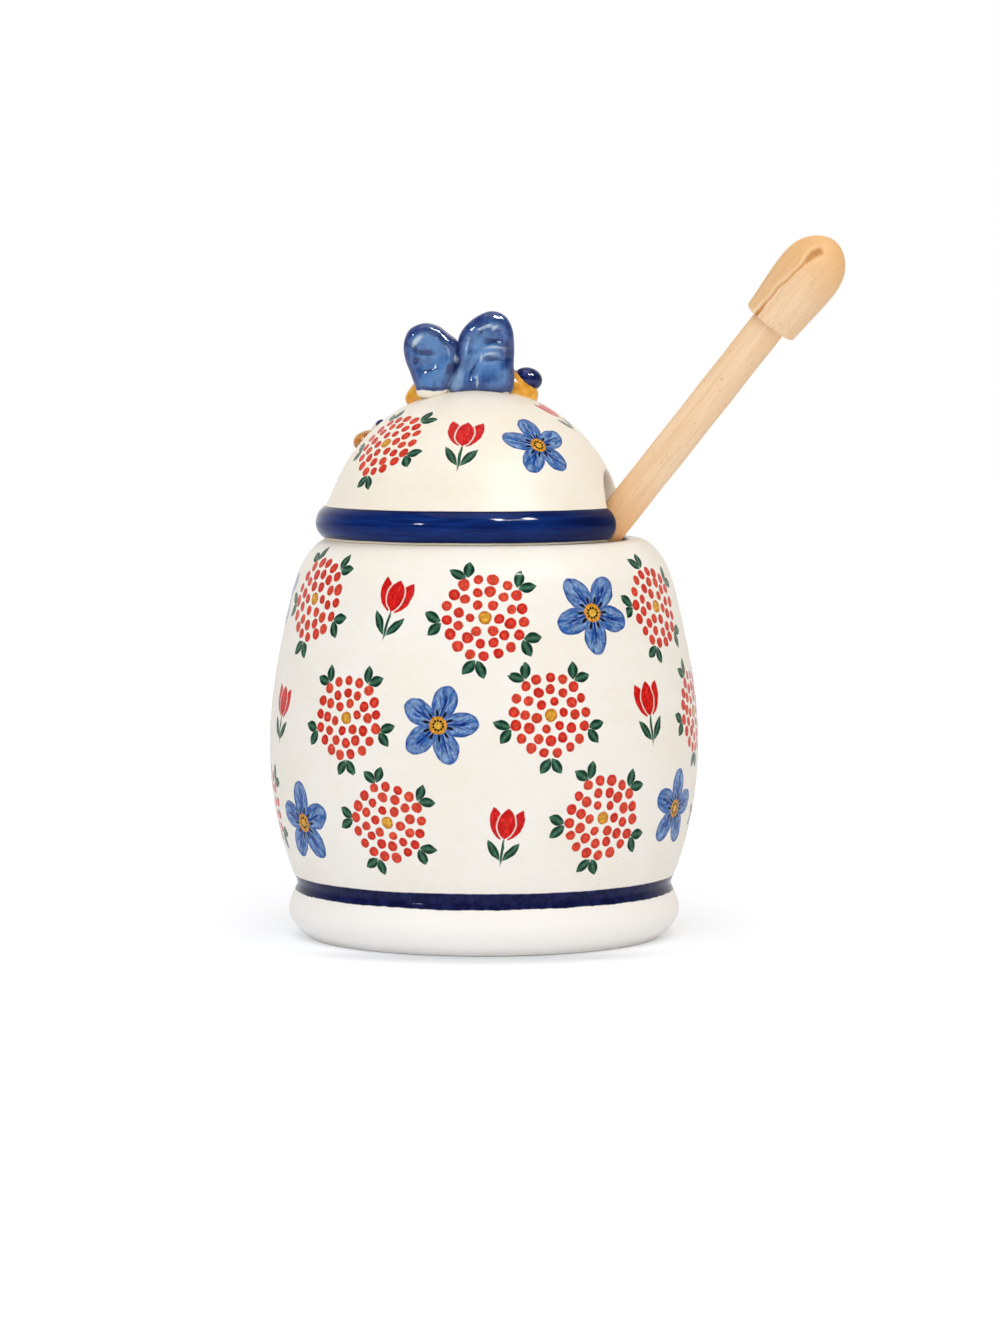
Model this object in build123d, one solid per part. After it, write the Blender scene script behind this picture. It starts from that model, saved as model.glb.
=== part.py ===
from build123d import *
from math import asin, atan2, cos, degrees, hypot, radians, sin
import os

# A ceramic honey pot with a loose notched lid and a wooden honey dipper.
# Millimetres and degrees. +Z is up. The origin is the centre of the pot's foot, on the table.

# ---- pot ----
pot_wall = 4.6
floor_thickness = 7.0
foot_ring_radius = 45.8         # outside of the flat ring that stands on the table
foot_ring_width = 6.0
foot_recess = 1.6               # hollow under the pot, inside the ring
foot_radius = 50.6              # widest place of the plinth
foot_widest_height = 6.8
waist_radius = 48.5             # groove between the plinth and the belly
waist_height = 13.8
belly_radius = 55.4
belly_height = 54.0
shoulder_radius = 50.5
shoulder_height = 85.5
neck_radius = 43.7              # where the shoulder turns in towards the lip
neck_drop = 1.9                 # how far the neck is below the lip
lip_radius = 40.2               # outer edge of the flat lip
lip_edge_round = 0.8            # inner edge of the lip
rim_height = 102.6              # table to the lip, which carries the lid
mouth_radius = 37.0
mouth_depth = 4.0               # straight part of the mouth

# ---- lid ----
lid_shift = 2.2                 # the lid rests this far off the pot's axis, pushed over by the dipper
lid_wall = 4.6
roll_radius = 41.3              # outside of the half-round roll
roll_height = 8.7
roll_bulge = 2.6
dome_height = 39.2              # lip to the crown of the dome
dome_side_radius = 33.9
dome_side_height = 18.4
dome_side_lean = 60.0           # slope of the dome there, from level
dome_shoulder_radius = 26.1
dome_shoulder_height = 28.4
dome_shoulder_lean = 42.0
flange_depth = 6.0
flange_thickness = 3.7
flange_play = 0.4               # left between the flange and the mouth on the side it is pushed to
notch_width = 22.0
notch_height = 18.3
notch_corner_radius = 10.4
notch_gap = 2.0                 # the rod to the near side of the notch

# ---- dipper ----
dipper_azimuth = -16.0          # direction that the dipper leans in, from +X
rod_radius = 4.65
rod_rest_gap = 0.3              # rod to the edge of the mouth
rod_above_lip = 71.2            # along the dipper, from lip level to the knob
knob_length = 26.6
knob_radius = 8.3
knob_base_radius = 7.4
knob_widest_share = 0.49        # of its length, where it is widest
knob_fullness = 0.83            # its top passes this share of the way out and up
knob_chamfer = 0.8
knob_socket_depth = 12.0
head_radius = 12.6
head_length = 33.0
head_end_radius = 8.0
head_neck_radius = 7.5
head_grooves = 6
groove_width = 2.2
groove_floor_radius = 6.6
head_socket_depth = 9.0
glue_gap = 0.1
head_to_wall = 5.3              # middle of the head's end to the waist's inner side, level
head_to_floor = 9.5             # middle of the head's end to the pot's floor

# ---- bee on the crown of the lid: its tail points to -X, its head to +X ----
abdomen_length = 23.6
abdomen_width = 11.0
abdomen_height = 11.0
abdomen_back = 7.0              # crown to the middle of the abdomen
abdomen_lift = 0.4              # its middle above the crown
abdomen_droop = 22.0
thorax_length = 18.0
thorax_width = 10.0
thorax_height = 10.5
thorax_ahead = 7.6
thorax_lift = -0.4
thorax_droop = 20.0
bee_head_radius = 3.3
bee_head_ahead = 14.2
bee_head_lift = 2.5
wing_thickness = 4.6
wing_edge_round = 1.9
wing_stance = 6.4               # middle of each wing, out from the bee's axis
wing_lean = 8.0                 # from upright, away from the bee
fore_wing_width = 14.4
fore_wing_height = 21.4
fore_wing_ahead = 2.9           # crown to its middle
fore_wing_lift = 8.9            # its middle above the crown
fore_wing_turn = -6.0
wing_root_width = 14.0
wing_root_height = 9.0
wing_root_ahead = 1.4
wing_root_lift = 2.4
hind_wing_width = 13.6
hind_wing_height = 18.0
hind_wing_back = 11.3
hind_wing_lift = 7.6
hind_wing_turn = 24.0

# ---- small bee on the back of the dome ----
small_bee_azimuth = 149.0
small_bee_climb = 0.32          # share of the way up the dome's line, from the roll to the crown
small_bee_length = 14.0
small_bee_width = 6.2
small_bee_height = 6.4
small_bee_lift = 1.6            # its middle above the dome
small_head_radius = 2.3
small_wing_length = 6.8
small_wing_width = 4.6
small_wing_thickness = 2.0
small_wing_sweep = 12.0         # from straight out, towards the tail
small_wing_rise = 2.0
small_wing_ahead = 2.4          # small bee's middle to where its wings join

# ---- values that follow from the ones above ----
seat = Pos(-lid_shift, 0, rim_height)
flange_radius = mouth_radius - lid_shift - flange_play
flange_inner_radius = flange_radius - flange_thickness
roll_flat_radius = roll_radius - roll_bulge

# The dipper leans on the edge of the mouth, with the end of its head low on the opposite side.
lip_run = mouth_radius + waist_radius - pot_wall - head_to_wall
lip_rise = rim_height - floor_thickness - head_to_floor
rod_offset = rod_radius + rod_rest_gap
dipper_tilt = degrees(atan2(lip_run, lip_rise) - asin(rod_offset / hypot(lip_run, lip_rise)))
dipper_below_lip = lip_rise / cos(radians(dipper_tilt))
rod_at_lip = mouth_radius - rod_offset / cos(radians(dipper_tilt))
dipper = Rot(0, 0, dipper_azimuth) * Pos(rod_at_lip, 0, rim_height) * Rot(0, dipper_tilt, 0)

# The notch is wider than the rod, which passes it near one side.
notch_offset = notch_width / 2 - notch_gap - rod_radius
notch_azimuth = dipper_azimuth + degrees(asin(notch_offset / roll_radius))


def inward(radius, height, lean, depth):
    """The point that is depth inside a wall whose outer face slopes by lean degrees from level."""
    return (radius - depth * sin(radians(lean)), height - depth * cos(radians(lean)))


def section(*edges):
    """A closed face in the XZ plane from edges that are drawn in plan."""
    return Plane.XZ * make_face(Curve() + list(edges))


def turned(*edges):
    """The body of revolution of a closed outline: x is the radius and y is the height."""
    return revolve(section(*edges), Axis.Z, 360)


def make_pot():
    """Hollow pot: plinth, waist, belly, shoulder and lip, with a shallow hollow under its foot."""
    ring_inner = foot_ring_radius - foot_ring_width
    neck_height = rim_height - neck_drop
    waist = (waist_radius, waist_height)
    inner_waist = (waist_radius - pot_wall, waist_height)
    corner = waist_height - floor_thickness
    lip_inner = mouth_radius + lip_edge_round
    outline = [
        Line((0, foot_recess), (ring_inner - foot_recess, foot_recess)),
        Line((ring_inner - foot_recess, foot_recess), (ring_inner, 0)),
        Line((ring_inner, 0), (foot_ring_radius, 0)),
        Spline((foot_ring_radius, 0), (foot_radius, foot_widest_height), waist, tangents=[(1, 0.15), (-0.35, 1)]),
        Spline(
            waist,
            (belly_radius, belly_height),
            (shoulder_radius, shoulder_height),
            (neck_radius, neck_height),
            (lip_radius, rim_height),
            tangents=[(0.45, 1), (-1, 0)],
        ),
        Line((lip_radius, rim_height), (lip_inner, rim_height)),
        RadiusArc((lip_inner, rim_height), (mouth_radius, rim_height - lip_edge_round), -lip_edge_round),
        Line((mouth_radius, rim_height - lip_edge_round), (mouth_radius, rim_height - mouth_depth)),
        Spline(
            (mouth_radius, rim_height - mouth_depth),
            (shoulder_radius - pot_wall, shoulder_height),
            (belly_radius - pot_wall, belly_height),
            inner_waist,
            tangents=[(0, -1), (-0.1, -1)],
        ),
        RadiusArc(inner_waist, (inner_waist[0] - corner, floor_thickness), corner),
        Line((inner_waist[0] - corner, floor_thickness), (0, floor_thickness)),
        Line((0, floor_thickness), (0, foot_recess)),
    ]
    return turned(*outline)


def dome_points(depth):
    """Points of the dome's line from the roll to the crown, moved inwards by depth."""
    return [
        inward(dome_side_radius, dome_side_height, dome_side_lean, depth),
        inward(dome_shoulder_radius, dome_shoulder_height, dome_shoulder_lean, depth),
        (0, dome_height - depth),
    ]


def dome_edge():
    """The dome's outer line, from the top of the roll to the crown."""
    return Spline((roll_flat_radius, roll_height), *dome_points(0), tangents=[(-0.55, 1), (-1, 0)])


def make_notch():
    """The arch that is cut through the lid's edge over the dipper, from below the flange up."""
    low = flange_depth + 1
    half = notch_width / 2
    arch = Pos(0, (notch_height - low) / 2) * Rectangle(notch_width, notch_height + low)
    top_corners = arch.vertices().group_by(Axis.Y)[-1]
    arch = fillet(top_corners, min(notch_corner_radius, half * 0.95))
    upright = Plane(origin=(0, 0, rim_height), x_dir=(0, 1, 0), z_dir=(1, 0, 0))
    return Rot(0, 0, notch_azimuth) * extrude(upright * arch, roll_radius * 1.5)


def make_lid_solid():
    """The domed cap as a solid of revolution, before its notch is cut."""
    outline = [
        Line((flange_inner_radius, -flange_depth), (flange_radius, -flange_depth)),
        Line((flange_radius, -flange_depth), (flange_radius, 0)),
        Line((flange_radius, 0), (roll_flat_radius, 0)),
        ThreePointArc((roll_flat_radius, 0), (roll_radius, roll_height / 2), (roll_flat_radius, roll_height)),
        dome_edge(),
        Line((0, dome_height), (0, dome_height - lid_wall)),
        Spline(
            *reversed(dome_points(lid_wall)),
            (flange_inner_radius, roll_height / 2),
            tangents=[(1, 0), (0, -1)],
        ),
        Line((flange_inner_radius, roll_height / 2), (flange_inner_radius, -flange_depth)),
    ]
    return seat * turned(*outline)


def make_dome_plug():
    """Everything under the dome's outer face: what stands on the dome is cut to it."""
    outline = [
        Line((0, 0), (roll_flat_radius, 0)),
        Line((roll_flat_radius, 0), (roll_flat_radius, roll_height)),
        dome_edge(),
        Line((0, dome_height), (0, 0)),
    ]
    return seat * turned(*outline)


def egg(length, width, height):
    """An ellipsoid with its length along X."""
    return scale(Sphere(0.5), by=(length, width, height))


def petal(width, height):
    """A rounded oval slab of clay, upright in the XY plane."""
    slab = extrude(Ellipse(width / 2, height / 2), wing_thickness / 2, both=True)
    return fillet(slab.edges(), wing_edge_round)


def make_wings(side):
    """The fore and hind wing on one side of the bee, +1 near or -1 far: they lean out from it."""
    root = Pos(-lid_shift, -side * wing_stance, rim_height + dome_height) * Rot(90 + side * wing_lean, 0, 0)
    fore = Pos(fore_wing_ahead, fore_wing_lift, 0) * Rot(0, 0, fore_wing_turn)
    fore = fore * petal(fore_wing_width, fore_wing_height)
    fore += Pos(wing_root_ahead, wing_root_lift, 0) * petal(wing_root_width, wing_root_height)
    hind = Pos(-hind_wing_back, hind_wing_lift, 0) * Rot(0, 0, hind_wing_turn)
    hind = hind * petal(hind_wing_width, hind_wing_height)
    return root * fore, root * hind


def make_finial(dome):
    """The bee that is the lid's knob: body, head and four raised wings, each cut to what carries it."""
    crown = seat * Pos(0, 0, dome_height)
    abdomen = Rot(0, -abdomen_droop, 0) * egg(abdomen_length, abdomen_width, abdomen_height)
    thorax = Rot(0, thorax_droop, 0) * egg(thorax_length, thorax_width, thorax_height)
    body = crown * (Pos(-abdomen_back, 0, abdomen_lift) * abdomen + Pos(thorax_ahead, 0, thorax_lift) * thorax)
    head = crown * Pos(bee_head_ahead, 0, bee_head_lift) * Sphere(bee_head_radius)
    pieces = {"bee_body": body - dome, "bee_head": head - body - dome}
    for name, side in (("near", 1), ("far", -1)):
        fore, hind = make_wings(side)
        pieces["wing_" + name + "_fore"] = fore - body - head - dome
        pieces["wing_" + name + "_hind"] = hind - fore - body - dome
    return pieces


def make_small_bee(dome):
    """A small bee that walks round the back of the dome: body, head and two wings."""
    line = dome_edge()
    foot = line.position_at(small_bee_climb)
    slope = line.tangent_at(small_bee_climb)
    lean = degrees(atan2(-slope.X, slope.Y))
    place = seat * Rot(0, 0, small_bee_azimuth) * Pos(foot.X, 0, foot.Y) * Rot(0, 90 - lean, 0)
    on_dome = place * Pos(0, 0, small_bee_lift)
    body = on_dome * Rot(0, 0, 90) * egg(small_bee_length, small_bee_width, small_bee_height)
    head = on_dome * Pos(0, -small_bee_length / 2, 0) * Sphere(small_head_radius)
    pieces = {"small_bee_body": body - dome, "small_bee_head": head - body - dome}
    for name, side in (("upper", -1), ("lower", 1)):
        wing = egg(small_wing_length, small_wing_width, small_wing_thickness)
        wing = Rot(0, -small_wing_rise, 0) * Pos(small_wing_length / 2, 0, 0) * wing
        turn = 90 - side * (90 - small_wing_sweep)
        wing = on_dome * Pos(0, -small_wing_ahead, small_bee_height * 0.25) * Rot(0, 0, turn) * wing
        pieces["small_bee_wing_" + name] = wing - body - dome
    return pieces


def make_dipper():
    """Dowel, knob and grooved head on one axis: local +Z runs up it and 0 is at lip level."""
    end = -dipper_below_lip
    head_top = end + head_length
    rod_low = head_top - head_socket_depth
    rod_high = rod_above_lip + knob_socket_depth
    rod = Pos(0, 0, rod_low) * Cylinder(rod_radius, rod_high - rod_low, align=(Align.CENTER, Align.CENTER, Align.MIN))

    base = rod_above_lip
    knob = turned(
        Line((0, base), (knob_base_radius - knob_chamfer, base)),
        Line((knob_base_radius - knob_chamfer, base), (knob_base_radius, base + knob_chamfer)),
        Spline(
            (knob_base_radius, base + knob_chamfer),
            (knob_radius, base + knob_widest_share * knob_length),
            (knob_fullness * knob_radius, base + knob_fullness * knob_length),
            (0, base + knob_length),
            tangents=[(0.08, 1), (-1, 0)],
        ),
        Line((0, base + knob_length), (0, base)),
    )
    socket = Cylinder(rod_radius + glue_gap, knob_socket_depth, align=(Align.CENTER, Align.CENTER, Align.MIN))
    knob -= Pos(0, 0, base) * socket

    head = turned(
        Line((0, end), (head_end_radius * 0.6, end)),
        Spline(
            (head_end_radius * 0.6, end),
            (head_radius, end + 0.45 * head_length),
            (head_neck_radius, head_top),
            tangents=[(1, 0.35), (-0.6, 1)],
        ),
        Line((head_neck_radius, head_top), (0, head_top)),
        Line((0, head_top), (0, end)),
    )
    pitch = head_length / (head_grooves + 1)
    for index in range(head_grooves):
        ring = Cylinder(head_radius * 1.2, groove_width) - Cylinder(groove_floor_radius, groove_width)
        head -= Pos(0, 0, end + (index + 1) * pitch) * ring
    head_socket = Cylinder(rod_radius + glue_gap, head_socket_depth, align=(Align.CENTER, Align.CENTER, Align.MIN))
    head -= Pos(0, 0, rod_low) * head_socket
    return {"dipper_rod": dipper * rod, "dipper_knob": dipper * knob, "dipper_head": dipper * head}


def make_parts():
    lid_solid = make_lid_solid()
    dome = make_dome_plug()
    parts = {"pot_body": make_pot(), "lid_shell": lid_solid - make_notch()}
    parts.update(make_finial(dome))
    parts.update(make_small_bee(dome))
    parts.update(make_dipper())
    return parts


os.makedirs("parts", exist_ok=True)
for name, part in make_parts().items():
    export_step(part, "parts/" + name + ".step")
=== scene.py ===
import functools
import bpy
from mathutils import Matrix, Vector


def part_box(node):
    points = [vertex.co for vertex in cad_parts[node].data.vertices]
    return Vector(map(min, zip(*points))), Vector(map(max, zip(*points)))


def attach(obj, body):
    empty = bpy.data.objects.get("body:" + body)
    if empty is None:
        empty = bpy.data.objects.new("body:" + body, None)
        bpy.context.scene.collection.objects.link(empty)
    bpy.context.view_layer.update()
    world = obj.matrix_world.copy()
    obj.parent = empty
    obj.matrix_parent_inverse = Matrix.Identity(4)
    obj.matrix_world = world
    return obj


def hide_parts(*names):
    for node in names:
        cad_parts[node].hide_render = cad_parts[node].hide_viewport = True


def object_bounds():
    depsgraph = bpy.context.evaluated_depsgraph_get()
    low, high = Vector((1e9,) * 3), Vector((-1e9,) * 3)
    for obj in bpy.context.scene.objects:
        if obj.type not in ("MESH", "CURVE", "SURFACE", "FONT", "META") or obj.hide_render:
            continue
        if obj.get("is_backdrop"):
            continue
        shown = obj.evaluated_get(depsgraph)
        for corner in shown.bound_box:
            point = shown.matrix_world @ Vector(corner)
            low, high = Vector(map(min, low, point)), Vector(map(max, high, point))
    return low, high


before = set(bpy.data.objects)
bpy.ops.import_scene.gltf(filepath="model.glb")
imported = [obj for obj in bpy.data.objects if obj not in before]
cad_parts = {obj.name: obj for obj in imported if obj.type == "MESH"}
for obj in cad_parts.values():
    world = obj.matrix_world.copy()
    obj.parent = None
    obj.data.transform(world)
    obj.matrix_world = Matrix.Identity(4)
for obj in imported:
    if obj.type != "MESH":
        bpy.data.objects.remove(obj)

import inspect
import math

import bmesh
import bpy
import numpy as np
from mathutils import Vector

bounds_at_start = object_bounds()

# A ceramic honey pot with a notched lid, a bee for its knob and a wooden dipper.
# Sizes are in millimetres until a mesh is made; angles are in degrees from +X unless named otherwise.
# MM, MICRON and SAME_POINT, the distance at which points are merged, are in metres.
MM = 0.001
MICRON = 0.000001
SAME_POINT = 2 * MICRON
TURN = 2 * math.pi


# ---- measures shared with the solids

pot_high = np.array(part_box("pot_body")[1]) / MM
lid_low, lid_high = (np.array(v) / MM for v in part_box("lid_shell"))
rim_height = pot_high[2]
belly_radius = pot_high[1]
roll_radius = lid_high[1]
lid_axis_x = lid_low[0] + roll_radius
dome_height = lid_high[2] - rim_height
crown = np.array([lid_axis_x, 0, rim_height + dome_height])

pot_wall = 4.6
floor_thickness = 7
foot_ring = (39.8, 45.8)
foot_recess = 1.6
waist = (48.5, 13.8)
belly_height = 54
shoulder = (50.5, 85.5)
neck = (43.7, rim_height - 1.9)
lip_radius = 40.2
mouth_radius = 37
mouth_depth = 4

roll_height = 8.7
roll_flat_radius = roll_radius - 2.6
dome_side = (33.9, 18.4)
dome_shoulder = (26.1, 28.4)
lid_wall = 4.6
flange_outer = 34.4
flange_inner = 30.7
flange_depth = 6

dipper_azimuth = -16
dipper_tilt = 38.81
rod_at_lip = 30.65
rod_radius = 4.65
rod_above_lip = 71.2
dipper_below_lip = 110.49
knob_length = 26.6
knob_widest = 8.3
head_length = 33


# ---- measures of the dressed surfaces

POT_EDGE = 0.8
NOTCH_HALF = 9.9
NOTCH_TOP = 16.8
NOTCH_SPRING = 7.9
NOTCH_FROM_ROD = 4.35
NOTCH_AZIMUTH = math.radians(dipper_azimuth) + math.asin(NOTCH_FROM_ROD / roll_radius)
EDGE_ROUND = 1
ROLL_END_ROUND = 3.6
FLANGE_ROUND = 1.1
WING_RIM = 0.72
SMALL_BEE_AZIMUTH = 149
CRACK_START = math.radians(-117)
CRACK_LEAN = math.radians(27)
GOUGE_LOW = 0.68
GOUGE_HIGH = 0.93
FIN_EDGE = 0.35

# Material numbers on the pot and the lid.
PAINTED, PLAIN, BARE = 0, 1, 2

# Painted motifs: the number that a face carries, and how far each one reaches from its middle.
ROSETTE, TULIP, FLOWER = 1, 2, 3
MOTIF_REACH = {ROSETTE: 16.2, TULIP: 8.5, FLOWER: 10.5}
MOTIF_MARGIN = 2
SEED_STEP = 7.31
POT_SEED = 11
POT_ROWS = [
    (20.5, 4, (ROSETTE, TULIP, ROSETTE, FLOWER) * 3),
    (47.5, 19, (FLOWER, ROSETTE, TULIP, ROSETTE) * 3),
    (74.5, 2, (TULIP, ROSETTE, FLOWER, ROSETTE) * 3),
]
LID_STAMPS = [
    (ROSETTE, -141, 19, 8, 0.86), (TULIP, -96, 20, -6, 1), (FLOWER, -57, 18.5, 20, 0.9),
    (TULIP, -17, 29.5, 4, 0.8), (ROSETTE, 27, 18.5, -9, 0.86), (FLOWER, 76, 19.5, 50, 0.9),
    (TULIP, 112, 18.5, 8, 1), (ROSETTE, 158, 20, 3, 0.84),
]

# Outlines of the bee's wings, in the wing's own plane: along the bee, and up from the crown.
HIND_WING = [
    (-18.3, 11.2), (-16.8, 14.7), (-13.3, 16.3), (-9.8, 15.6), (-7, 13.6), (-4.7, 11.6), (-4.3, 8.8),
    (-5.2, 4.6), (-6.2, 0), (-8.6, -2.4), (-11.8, -3), (-14.6, -2.4), (-15.6, 0.4), (-16.7, 3.6),
    (-18, 7.2),
]
FORE_WING = [
    (-4.5, 11.6), (-3.2, 14.8), (-0.2, 17.7), (3.9, 19.4), (7.5, 18.3), (9.5, 15), (10, 10.6),
    (9.9, 5.5), (10, 1.4), (9.2, -1.4), (5.2, -2.3), (0.4, -2.4), (-4.2, -2.3), (-7, -1.2),
    (-6.2, 1.9), (-5.1, 5.5),
]


# ---- lines and meshes

def ramp(value, start, end):
    """0 up to the start, 1 from the end on, even between them."""
    return np.clip((value - start) / (end - start), 0, 1)


def length_along(line):
    """Distance along a line at each of its points."""
    return np.concatenate([[0], np.cumsum(np.linalg.norm(np.diff(line, axis=0), axis=1))])


def share_along(line):
    """The same as a share of the whole length."""
    return length_along(line) / length_along(line)[-1]


def at_shares(line, wanted, own=None):
    """Points of a line at the wanted shares; its points have their own shares, or those of its length."""
    own = share_along(line) if own is None else own
    return np.stack([np.interp(wanted, own, line[:, i]) for i in (0, 1)], 1)


def smooth_line(points, start, end, count):
    """Points along one smooth line through the given ones.

    Each span is a cubic in its own share of the way along. Neighbours meet with equal slope and equal
    bend, which gives one linear equation for the slope at each inner point. The first and last slopes
    are the given directions at unit length."""
    p = np.array(points, float)
    n = len(p)
    gap = np.linalg.norm(np.diff(p, axis=0), axis=1)
    left, right = np.eye(n), np.zeros_like(p)
    right[0], right[-1] = (np.array(v) / np.linalg.norm(v) for v in (start, end))
    for i in range(1, n - 1):
        before, after = gap[i - 1], gap[i]
        left[i, i - 1:i + 2] = after, 2 * (before + after), before
        right[i] = 3 * (before / after * (p[i + 1] - p[i]) + after / before * (p[i] - p[i - 1]))
    slopes = np.linalg.solve(left, right)
    knots = length_along(p)
    where = np.linspace(0, knots[-1], count)
    span = np.clip(np.searchsorted(knots, where, side="right") - 1, 0, n - 2)
    h = gap[span][:, None]
    t = (where - knots[span])[:, None] / h
    return (
        (2 * t**3 - 3 * t**2 + 1) * p[span]
        + (t**3 - 2 * t**2 + t) * h * slopes[span]
        + (3 * t**2 - 2 * t**3) * p[span + 1]
        + (t**3 - t**2) * h * slopes[span + 1]
    )


def angles(start, end, count):
    """Evenly spaced angles in radians."""
    return np.radians(np.linspace(start, end, count))


def arc(centre, radius, start, end, count):
    """Points on a circle, from the start to the end angle."""
    angle = angles(start, end, count)
    return np.array(centre) + radius * np.stack([np.cos(angle), np.sin(angle)], 1)


def join_lines(*lines):
    """One line from several that follow each other, without the doubled points where they meet."""
    points = np.concatenate(lines)
    step = np.linalg.norm(np.diff(points, axis=0), axis=1)
    return points[np.concatenate([[True], step > SAME_POINT / MM / 20])]


def path(*steps):
    """Straight lines from point to point; each count between two is the number of points on that line."""
    return join_lines(*(np.linspace(steps[i - 1], steps[i + 1], steps[i]) for i in range(1, len(steps), 2)))


def nearest(line, point):
    """Number of the line's point that lies nearest to the given one."""
    return np.argmin(np.linalg.norm(line - np.array(point), axis=1))


def full_turn(count):
    """Evenly spaced angles of one whole turn, in radians."""
    return np.linspace(0, TURN, count, endpoint=False)


def ripple(x, y, z, seed):
    """Slow unevenness from -1 to 1 in every direction: the mean of three crossing sine waves."""
    a = 1.7 * seed
    return (
        np.sin(0.11 * x + 0.05 * z + a)
        + np.sin(0.09 * y - 0.07 * z + 2.1 * a)
        + np.sin(0.13 * z + 0.04 * x - 0.06 * y + 0.7 * a)
    ) / 3


def sin_cos(angle):
    return math.sin(math.radians(angle)), math.cos(math.radians(angle))


def about_y(angle):
    """Turn about Y by an angle."""
    s, c = sin_cos(angle)
    return np.array([[c, 0, s], [0, 1, 0], [-s, 0, c]])


def about_z(angle):
    """Turn about Z by an angle."""
    s, c = sin_cos(angle)
    return np.array([[c, -s, 0], [s, c, 0], [0, 0, 1]])


def build(name, node, body, slot, grids, materials, rows=None, around=True, **values):
    """One piece from grids of points[row, column, xyz] in millimetres.

    around joins the last column to the first. rows holds each grid's material number, for all its rows
    or row by row, and values are kept as attributes of the points. Points that meet are merged, and
    faces are turned outwards."""
    faces, numbers, first = [], [], 0
    for grid, number in zip(grids, rows or [0] * len(grids)):
        high, wide = grid.shape[:2]
        row, column = np.arange(high - 1)[:, None] * wide, np.arange(wide if around else wide - 1)
        right = (column + 1) % wide
        quads = np.stack([row + column, row + right, row + wide + right, row + wide + column], -1)
        faces.append(quads.reshape(-1, 4) + first)
        numbers.append(np.repeat(np.broadcast_to(number, high - 1), len(column)))
        first += high * wide
    points = np.concatenate([grid.reshape(-1, 3) for grid in grids]) * MM
    mesh = bpy.data.meshes.new(name)
    mesh.from_pydata(points.tolist(), [], np.concatenate(faces).tolist())
    mesh.polygons.foreach_set("material_index", np.concatenate(numbers).astype(np.int32))
    for label, data in values.items():
        kind, field = ("FLOAT_VECTOR", "vector") if label == "local" else ("FLOAT", "value")
        attribute = mesh.attributes.new(label, kind, "POINT")
        attribute.data.foreach_set(field, data.astype(np.float32).ravel())
    work = bmesh.new()
    work.from_mesh(mesh)
    bmesh.ops.remove_doubles(work, verts=work.verts, dist=SAME_POINT)
    bmesh.ops.dissolve_degenerate(work, edges=work.edges, dist=SAME_POINT / 2)
    bmesh.ops.recalc_face_normals(work, faces=work.faces)
    work.to_mesh(mesh)
    work.free()
    mesh.polygons.foreach_set("use_smooth", np.ones(len(mesh.polygons), bool))
    for material in materials:
        mesh.materials.append(material)
    mesh.update()
    piece = stand(name, mesh)
    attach(piece, body)
    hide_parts(node)
    return piece


def stand(name, data):
    """An object that shows the data, in the scene."""
    made = bpy.data.objects.new(name, data)
    bpy.context.scene.collection.objects.link(made)
    return made


def read(items, field, kind=np.float32, width=1):
    """One field of all of a mesh's items, as an array."""
    data = np.empty(len(items) * width, kind)
    items.foreach_get(field, data)
    return data


def place_motifs(piece, axis_x, stamps):
    """Gives each face the motif that it lies in.

    A stamp is (motif, azimuth, distance along the side, turn, size). A face belongs to the stamp whose
    middle is nearest for its reach. Each corner keeps its place inside that stamp: across is the turn
    from the stamp's azimuth times the radius there, up is the distance along the side."""
    mesh = piece.data
    co = read(mesh.vertices, "co", width=3).reshape(-1, 3) / MM
    along = read(mesh.attributes["along"].data, "value")
    x, y = co[:, 0] - axis_x, co[:, 1]
    azimuth, radius = np.arctan2(y, x), np.hypot(x, y)
    corners = read(mesh.loops, "vertex_index", np.int32)
    starts = read(mesh.polygons, "loop_start", np.int32)
    totals = np.diff(np.append(starts, len(corners)))
    motif, middle, height, turn, size = np.array(stamps, float).T
    middle, turn = np.radians(middle), np.radians(turn)
    reach = np.array([MOTIF_REACH[m] for m in motif]) * size

    def inside(points, stamp):
        wrapped = (azimuth[points] - middle[stamp] + math.pi) % TURN - math.pi
        return wrapped * radius[points], along[points] - height[stamp]

    across, up = inside(corners[starts][:, None], np.arange(len(stamps)))
    away = np.hypot(across, up) - reach
    owner = np.argmin(away, axis=1)
    stamp = np.repeat(owner, totals)
    across, up = inside(corners, stamp)
    c, s = np.cos(turn)[stamp], np.sin(turn)[stamp]
    local = np.stack([c * across + s * up, c * up - s * across], 1) / size[stamp, None]
    mesh.uv_layers.new(name="stamp").data.foreach_set("uv", local.astype(np.float32).ravel())
    shown = np.where(away.min(axis=1) < MOTIF_MARGIN, motif[owner], 0)
    for label, data in (("motif", shown), ("seed", owner * SEED_STEP % 10)):
        attribute = mesh.attributes.new(label, "FLOAT", "FACE")
        attribute.data.foreach_set("value", data.astype(np.float32))


def scattered(rows, seed):
    """Stamps in staggered rows: each row is (height, first azimuth, motifs in order), a little uneven."""
    shake = np.random.default_rng(seed)
    stamps = []
    for height, start, motifs in rows:
        for index, motif in enumerate(motifs):
            azimuth = start + 360 * index / len(motifs) + shake.uniform(-2.2, 2.2)
            turn = shake.uniform(-14, 14)
            if motif == FLOWER:
                turn = shake.uniform(0, 72)
            up = height + shake.uniform(-1.8, 1.8)
            size = shake.uniform(0.93, 1.04) * (0.94 if motif == ROSETTE else 1)
            stamps.append((motif, azimuth, up, turn, size))
    return stamps


# ---- pot

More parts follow.
